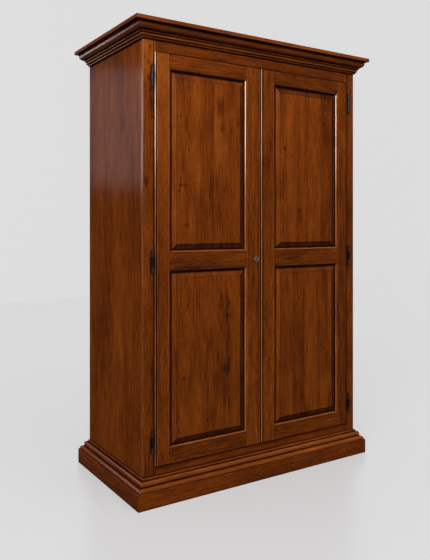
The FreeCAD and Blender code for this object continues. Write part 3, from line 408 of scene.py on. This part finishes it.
# Painted highlights on door edges that look left or up, painted shade on those that look right or down.
DOOR_FRONT = {
    "face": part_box("left_door_meeting_stile")[0].y, "rub_and_highlight": 0.40, "bead_gloss": 0.6, "painted_side_shade": 0.30,
}
DOOR_MEMBERS = {
    "hinge_stile": ("z", (0.03, -0.01)), "meeting_stile": ("z", (0.01, 0.01)),
    "top_rail": ("x", (-0.03, -0.12)), "middle_rail": ("x", (-0.07, -0.04)),
    "bottom_rail": ("x", (-0.04, -0.05)),
}
PANEL_INSET = 0.004
panel_low, panel_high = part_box("right_door_upper_panel")
opening_inner = panel_low.x - PANEL_INSET
opening_outer = panel_high.x + PANEL_INSET
JOINT_WAX = (0.0022, 0.30)
# Painted shade in the beads' quirks, and painted highlights on the ovolos' arrises.
QUIRK_SHADE = (0.0026, 0.35)
ARRIS_HIGHLIGHT = (0.0018, -0.30)
STILE_QUIRKS = {"hinge_stile": door_edge - 0.0084, "meeting_stile": 0.0130}
STILE_ARRISES = {"hinge_stile": opening_outer + 0.0012, "meeting_stile": opening_inner - 0.0012}
# Painted light and shade on the beads: under 0 a painted highlight, over 0 painted shade, the weakest dull
# the polish.
BEAD_LINES = {
    "left_door_hinge_stile": [("across", 0.0106 - door_edge, 0.0014, -0.25)],
    "left_door_meeting_stile": [
        ("across", -0.0069, 0.0065, 0.02), ("across", -0.0075, 0.0035, -0.25),
        ("across", -0.0015, 0.0030, 0.35),
    ],
    "right_door_meeting_stile": [("across", 0.0072, 0.0052, -0.48)],
    "right_door_hinge_stile": [("across", door_edge - 0.0034, 0.0065, 0.25)],
}
BEAD_FINISH = {
    "left_door_hinge_stile": {"rub_and_highlight": 0.2, "bead_gloss": 1.0},
    "right_door_meeting_stile": {"bead_gloss": 0.42},
}
MEMBER_MARKS = {
    "left_door_hinge_stile": [(-0.512, 1.620, 0.100, 0.420, -0.17), (-0.512, 1.820, 0.070, 0.140, -0.14)],
    "left_door_middle_rail": [(0.972, -0.300, 0.007, 0.160, 0.16)],
}
for number, (door, outward) in enumerate((("left_door", -1), ("right_door", 1))):
    for order, (member, (grain, tones)) in enumerate(DOOR_MEMBERS.items()):
        node = f"{door}_{member}"
        if grain == "x":
            lines = [("along", edge * outward, *JOINT_WAX) for edge in (opening_outer, opening_inner)]
        else:
            lines = [
                ("across", STILE_QUIRKS[member] * outward, *QUIRK_SHADE),
                ("across", STILE_ARRISES[member] * outward, *ARRIS_HIGHLIGHT),
            ]
        lines += BEAD_LINES.get(node, [])
        wood = stained_wood(
            f"{node}_wood", grain, 81.0 + 6 * number + order, tones[number], figure=1.5, lines=lines,
            marks=MEMBER_MARKS.get(node, ()), relief={**DOOR_FRONT, **BEAD_FINISH.get(node, {})})
        dress(node, wood)


# Door panels: raised fields with broad bevels, of stained hardwood glued up from upright strips.
# They stand loose in the doors' grooves. Painted shade darkens the bevels that look right, down or a little
# up, and the ground at their foot, and the bevels that look left are lightened as painted light. Knots,
# dark streaks and pale strips show in the fields.

# Painted light and shade on the panels' bevels, and painted shade at the step and on the ground at their
# foot.
PANEL_FRONT = {
    "face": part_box("left_door_upper_panel")[0].y, "rub_and_highlight": 0.35, "bead_gloss": 0.12, "painted_side_shade": 0.36,
    "step": 0.0016, "foot": 0.0060,
}
# Painted shade on the panels' top bevels, under the rail above.
TOP_BEVEL_SHADE = {
    "left_door_upper_panel": 0.07, "left_door_lower_panel": 0.04,
    "right_door_upper_panel": 0.24, "right_door_lower_panel": 0.04,
}
PANEL_MARKS = {
    "left_door_upper_panel": [
        (-0.344, 1.700, 0.032, 0.120, -0.20), (-0.217, 1.670, 0.016, 0.060, 0.24),
        (-0.209, 1.585, 0.014, 0.030, 0.24), (-0.163, 1.572, 0.007, 0.022, 0.16),
        (-0.129, 1.620, 0.011, 0.045, 0.12), (-0.420, 1.719, 0.005, 0.005, 0.4),
        (-0.383, 1.477, 0.007, 0.006, 0.3), (-0.417, 1.324, 0.019, 0.011, 0.34),
        (-0.428, 1.299, 0.009, 0.009, 0.34), (-0.393, 1.155, 0.014, 0.011, 0.26),
        (-0.256, 1.260, 0.045, 0.130, 0.10), (-0.335, 1.370, 0.030, 0.090, -0.12),
    ],
    "left_door_lower_panel": [
        (-0.201, 0.803, 0.036, 0.095, 0.14), (-0.176, 0.806, 0.009, 0.018, 0.2),
        (-0.182, 0.755, 0.015, 0.009, 0.22), (-0.179, 0.660, 0.014, 0.090, 0.14),
        (-0.188, 0.905, 0.005, 0.008, 0.3), (-0.386, 0.813, 0.005, 0.012, 0.2),
        (-0.184, 0.531, 0.018, 0.040, 0.2), (-0.220, 0.440, 0.060, 0.130, 0.12),
        (-0.408, 0.503, 0.012, 0.010, 0.26), (-0.339, 0.374, 0.035, 0.150, -0.09),
        (-0.143, 0.372, 0.020, 0.150, -0.09),
    ],
    "right_door_upper_panel": [
        (0.173, 1.650, 0.024, 0.180, -0.16), (0.254, 1.630, 0.018, 0.200, -0.14),
        (0.141, 1.517, 0.009, 0.009, 0.4), (0.383, 1.651, 0.006, 0.008, 0.24),
        (0.174, 1.331, 0.024, 0.130, -0.10), (0.359, 1.323, 0.018, 0.080, -0.09),
        (0.233, 1.224, 0.010, 0.012, 0.3), (0.229, 1.181, 0.022, 0.045, 0.12),
        (0.124, 1.335, 0.030, 0.090, 0.12),
    ],
    "right_door_lower_panel": [
        (0.092, 0.840, 0.010, 0.014, 0.25), (0.300, 0.700, 0.016, 0.070, 0.12),
    ],
}
for number, (node, marks) in enumerate(PANEL_MARKS.items()):
    tone = 0.03 if "upper" in node else 0.01
    wood = stained_wood(
        f"{node}_wood", "z", 101.0 + number, tone, strip=0.075, figure=1.15, marks=marks, specks=0.2,
        relief={**PANEL_FRONT, "painted_top_shade": TOP_BEVEL_SHADE[node]})
    dress(node, wood)


# Hinges: turned iron barrels with ball finials, three to a door, each with a pin in its frame half.
# One half is screwed into the frame's stile and one into the door's edge. The iron is blacked, and the
# finials' crowns are lightened grey, as wear and as painted glints.

joint_place = {joint["name"]: joint.get("pos_m") for joint in frame["joints"]}
hinge_x, hinge_y, _ = joint_place["right_door_hinge"]
key_height = joint_place["key_turn"][2]
PIN_HALF_LENGTH = 0.018
KNUCKLE_HEIGHT = 0.0205
# Painted glints with wear: finial crowns beyond these radii from the axis are lightened grey.
FINIAL_WEAR_GLINT_RADII = (0.0046, 0.0051)
pins_low, pins_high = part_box("hinge_pins")
hinge_heights = (pins_low.z + PIN_HALF_LENGTH, key_height, pins_high.z - PIN_HALF_LENGTH)


def blacked_iron(name):
    """Blacked iron, lightened grey past the knuckles where the distance from the hinge's axis is the most:
    wear and painted glints.
    """
    material, point, sockets = new_material(name)
    split = point.node("ShaderNodeSeparateXYZ", None, {"Vector": point})
    x = split.other("X").math("ABSOLUTE") - hinge_x
    y = split.other("Y") - hinge_y
    radius = (x * x + y * y).math("SQRT")
    low, middle, high = [(split.other("Z") - height).math("ABSOLUTE") for height in hinge_heights]
    from_middle = low.math("MINIMUM", middle).math("MINIMUM", high)
    enlarged = point.node("ShaderNodeVectorMath", {"operation": "SCALE"}, {0: point, "Scale": 700.0})
    grain = enlarged.noise(3.0)
    finial = from_middle.rise(KNUCKLE_HEIGHT, KNUCKLE_HEIGHT + 0.001)
    wear_and_highlight = radius.rise(*FINIAL_WEAR_GLINT_RADII) * finial * (grain * 0.8 + 0.7)
    stops = [(0.0, (0.0025, 0.0024, 0.0023)), (1.0, (0.062, 0.060, 0.057))]
    shade = wear_and_highlight.node("ShaderNodeValToRGB", {"stops": stops}, {"Fac": wear_and_highlight})
    rough = grain * 0.25 + 0.27
    point.tree.links.new(shade.socket, sockets["Base Color"])
    point.tree.links.new(rough.socket, sockets["Roughness"])
    sockets["Specular IOR Level"].default_value = 0.06
    return material


hinge_black = blacked_iron("hinge_black")
for node in ("hinge_frame_halves", "hinge_pins", "left_hinge_door_halves", "right_hinge_door_halves"):
    dress(node, hinge_black)


# Lock: an open-fronted steel case with a sliding bolt, screwed to the left door's back, and its keeper.
# The keeper is screwed to the right door's back. All of it is dull, with a fine grain.

def worn_metal(name, colour, roughness, dark_below=None):
    """Metal with a fine cast grain in its roughness and a slow change of tone, darker below a height."""
    material, point, sockets = new_material(name)

    def scaled(scale):
        return point.node("ShaderNodeVectorMath", {"operation": "SCALE"}, {0: point, "Scale": scale})

    rough = scaled(900.0).noise(3.0) * 0.25 + scaled(120.0).noise(2.0) * 0.2 + roughness
    tone = scaled(160.0).noise(3.0) + 0.5
    dark = [part * 0.6 for part in colour]
    if dark_below:
        height = point.node("ShaderNodeSeparateXYZ", None, {"Vector": point}).other("Z")
        tone = tone * height.rise(dark_below - 0.003, dark_below)
        dark = [part * 0.08 for part in colour]
    light = [min(part * 1.4, 1.0) for part in colour]
    shade = tone.node("ShaderNodeValToRGB", {"stops": [(0.3, dark), (0.7, light)]}, {"Fac": tone})
    point.tree.links.new(shade.socket, sockets["Base Color"])
    point.tree.links.new(rough.socket, sockets["Roughness"])
    sockets["Metallic"].default_value = 1.0
    return material


lock_steel = worn_metal("lock_steel", (0.18, 0.17, 0.155), 0.42)
for node in ("lock_case", "lock_bolt", "lock_keeper", "lock_screws", "right_door_screws"):
    dress(node, lock_steel)


# Key: dull iron in one piece, with an open diamond bow, a bit inside the lock and a small drop.
# It turns in the left door's keyhole. The drop hangs under the bow and is coloured much darker than the
# bow.

DROP_TOP = key_height - 0.0105
dress("key", worn_metal("key_iron", (0.28, 0.25, 0.22), 0.50, dark_below=DROP_TOP))


# Bolts: two steel rods on the right door's back, each in a guide plate with two staples.
# The plates are screwed to the meeting stile, and the rods shoot into the top and bottom boards.

for node in ("upper_bolt", "lower_bolt", "upper_bolt_guide", "lower_bolt_guide"):
    dress(node, lock_steel)


# Floor and far wall: plain pale surfaces, which are stage and no part of the cupboard.
# They look pale to the camera and in reflections, and throw little light back on the cupboard. Lamps can
# leave them out, so that the floor mirrors the cupboard alone.

stage_surfaces = bpy.data.collections.new("stage_surfaces")
BOUNCE_SHARE = 0.35


def in_view(tree):
    """1 where the camera or a reflection looks at a surface, and 0 where light bounces off it."""
    paths = Wire(tree, tree.nodes.new("ShaderNodeLightPath").outputs["Is Camera Ray"])
    seen = paths.math("MAXIMUM", paths.other("Is Glossy Ray"))
    return seen.math("MAXIMUM", paths.other("Is Transmission Ray"))


def stage_plane(name, corners, colour, roughness, glow):
    """A flat face through four corners, with its colour and glow only where it is seen."""
    mesh = bpy.data.meshes.new(name)
    mesh.from_pydata(corners, [], [(0, 1, 2, 3)])
    plane = bpy.data.objects.new(name, mesh)
    bpy.context.scene.collection.objects.link(plane)
    material, point, sockets = new_material(name)
    tree = point.tree
    dim = [part * BOUNCE_SHARE for part in colour]
    tones = {0: in_view(tree), 6: (*dim, 1.0), 7: (*colour, 1.0)}
    shade = point.node("ShaderNodeMix", {"data_type": "RGBA"}, tones, 2)
    tree.links.new(shade.socket, sockets["Base Color"])
    sockets["Roughness"].default_value = roughness
    tree.links.new((in_view(tree) * glow).socket, sockets["Emission Color"])
    sockets["Emission Strength"].default_value = 1.0
    mesh.materials.append(material)
    stage_surfaces.objects.link(plane)


FLOOR_REACH = 30
floor = [(x * FLOOR_REACH, y * FLOOR_REACH, 0) for x, y in ((-1, -1), (1, -1), (1, 1), (-1, 1))]
stage_plane("floor", floor, (0.25, 0.25, 0.25), 0.3, glow=0.39)
WALL_POINT = (0.68, 6.97)
WALL_TURN = math.radians(11.7)
WALL_ENDS = (-3.2, 40.0)
WALL_HEIGHT = 9


def along_wall(distance):
    """A point on the wall's foot, so far to the right of where the picture's left edge meets it."""
    return WALL_POINT[0] + distance * math.cos(WALL_TURN), WALL_POINT[1] + distance * math.sin(WALL_TURN)


left_end, right_end = [along_wall(distance) for distance in WALL_ENDS]
wall = [(*left_end, 0), (*right_end, 0), (*right_end, WALL_HEIGHT), (*left_end, WALL_HEIGHT)]
stage_plane("wall", wall, (0.15, 0.15, 0.15), 0.8, glow=0.655)
for surface in stage_surfaces.collection_objects:
    surface.light_linking.link_state = "EXCLUDE"


# Lamps: two soft boxes high in front, one behind for the back, and three bright boards.
# The boards only show as reflections, on the lacquer and the metal. The boards and the lamp behind leave
# the stage out, and the room around gives an even light that is stronger from above.

def soft_lamp(name, place, target, width, height, radiance, only_reflection=False, on_stage=True,
              colour=(1.0, 1.0, 1.0)):
    """A soft box of even radiance, where 1 shows as white, turned to face the target."""
    data = bpy.data.lights.new(name, "AREA")
    data.shape = "RECTANGLE"
    data.size = width
    data.size_y = height
    data.energy = radiance * math.pi * width * height
    data.color = colour
    lamp = bpy.data.objects.new(name, data)
    lamp.location = place
    lamp.visible_camera = False
    lamp.visible_diffuse = not only_reflection
    lamp.visible_glossy = only_reflection
    away = [end - start for start, end in zip(place, target)]
    tilt = math.atan2(math.hypot(*away[:2]), -away[2])
    lamp.rotation_euler = (tilt, 0.0, math.atan2(-away[0], away[1]))
    if only_reflection or not on_stage:
        lamp.light_linking.receiver_collection = stage_surfaces
    bpy.context.scene.collection.objects.link(lamp)


WARM = (1.0, 0.90, 0.77)
COOL = (0.86, 0.90, 1.0)
soft_lamp("main_light", (-3.4, -3.3, 4.3), (0.0, 0.0, 1.2), 3.2, 2.6, 9.7)
soft_lamp("front_light", (0.3, -2.3, 4.0), (0.0, -0.3, 1.6), 2.4, 1.2, 4.8)
soft_lamp("back_light", (3.4, 3.2, 3.6), (0.0, 0.0, 1.1), 3.0, 2.0, 8.0, on_stage=False)
BOARDS = (
    ("left_board", (-4.9, -3.0, 2.8), (-0.2, 0.0, 1.6), 6.0, 1.7, 32.0, WARM),
    ("front_board", (0.6, -6.3, 3.5), (0.0, 0.0, 1.7), 3.0, 1.6, 9.0, WARM),
    ("side_board", (-2.5, 4.0, 2.25), (-0.6, 0.0, 1.6), 0.9, 1.3, 25.0, COOL),
)
for *board, colour in BOARDS:
    soft_lamp(*board, only_reflection=True, colour=colour)

ROOM_LIGHT = 0.16
CEILING_LIGHT = 0.62
SEEN_WHITE = 0.72
world = bpy.data.worlds.new("room")
bpy.context.scene.world = world
world.use_nodes = True
tree = world.node_tree
sky = Wire(tree, tree.nodes.new("ShaderNodeTexCoord").outputs["Generated"])
height = sky.node("ShaderNodeSeparateXYZ", None, {"Vector": sky}).other("Z")
room = height.math("MAXIMUM", 0.0) * CEILING_LIGHT + ROOM_LIGHT
strength = in_view(tree) * (SEEN_WHITE - room) + room
tree.nodes["Background"].inputs["Color"].default_value = (1.0, 1.0, 1.0, 1.0)
tree.links.new(strength.socket, tree.nodes["Background"].inputs["Strength"])


# Camera: level, at the photograph's angle, left of the cupboard and a little over its middle.
# The frame is lowered by a shift instead of the camera being tilted, so that uprights stay upright.

PHOTO_HEIGHT = 560
PHOTO_FOCAL = 641.57
PHOTO_HORIZON = 225.44
VIEWPOINT = (-1.7751, -2.6586, 1.1530)
VIEW_TURN = math.radians(-32.85)
camera = bpy.data.cameras.new("camera")
camera.sensor_width = 36.0
camera.lens = PHOTO_FOCAL / PHOTO_HEIGHT * camera.sensor_width
camera.shift_y = (PHOTO_HORIZON - PHOTO_HEIGHT / 2) / PHOTO_HEIGHT
viewpoint = bpy.data.objects.new("camera", camera)
viewpoint.location = VIEWPOINT
viewpoint.rotation_euler = (math.radians(90.0), 0.0, VIEW_TURN)
bpy.context.scene.collection.objects.link(viewpoint)
bpy.context.scene.camera = viewpoint
bpy.context.scene.view_settings.view_transform = "Standard"
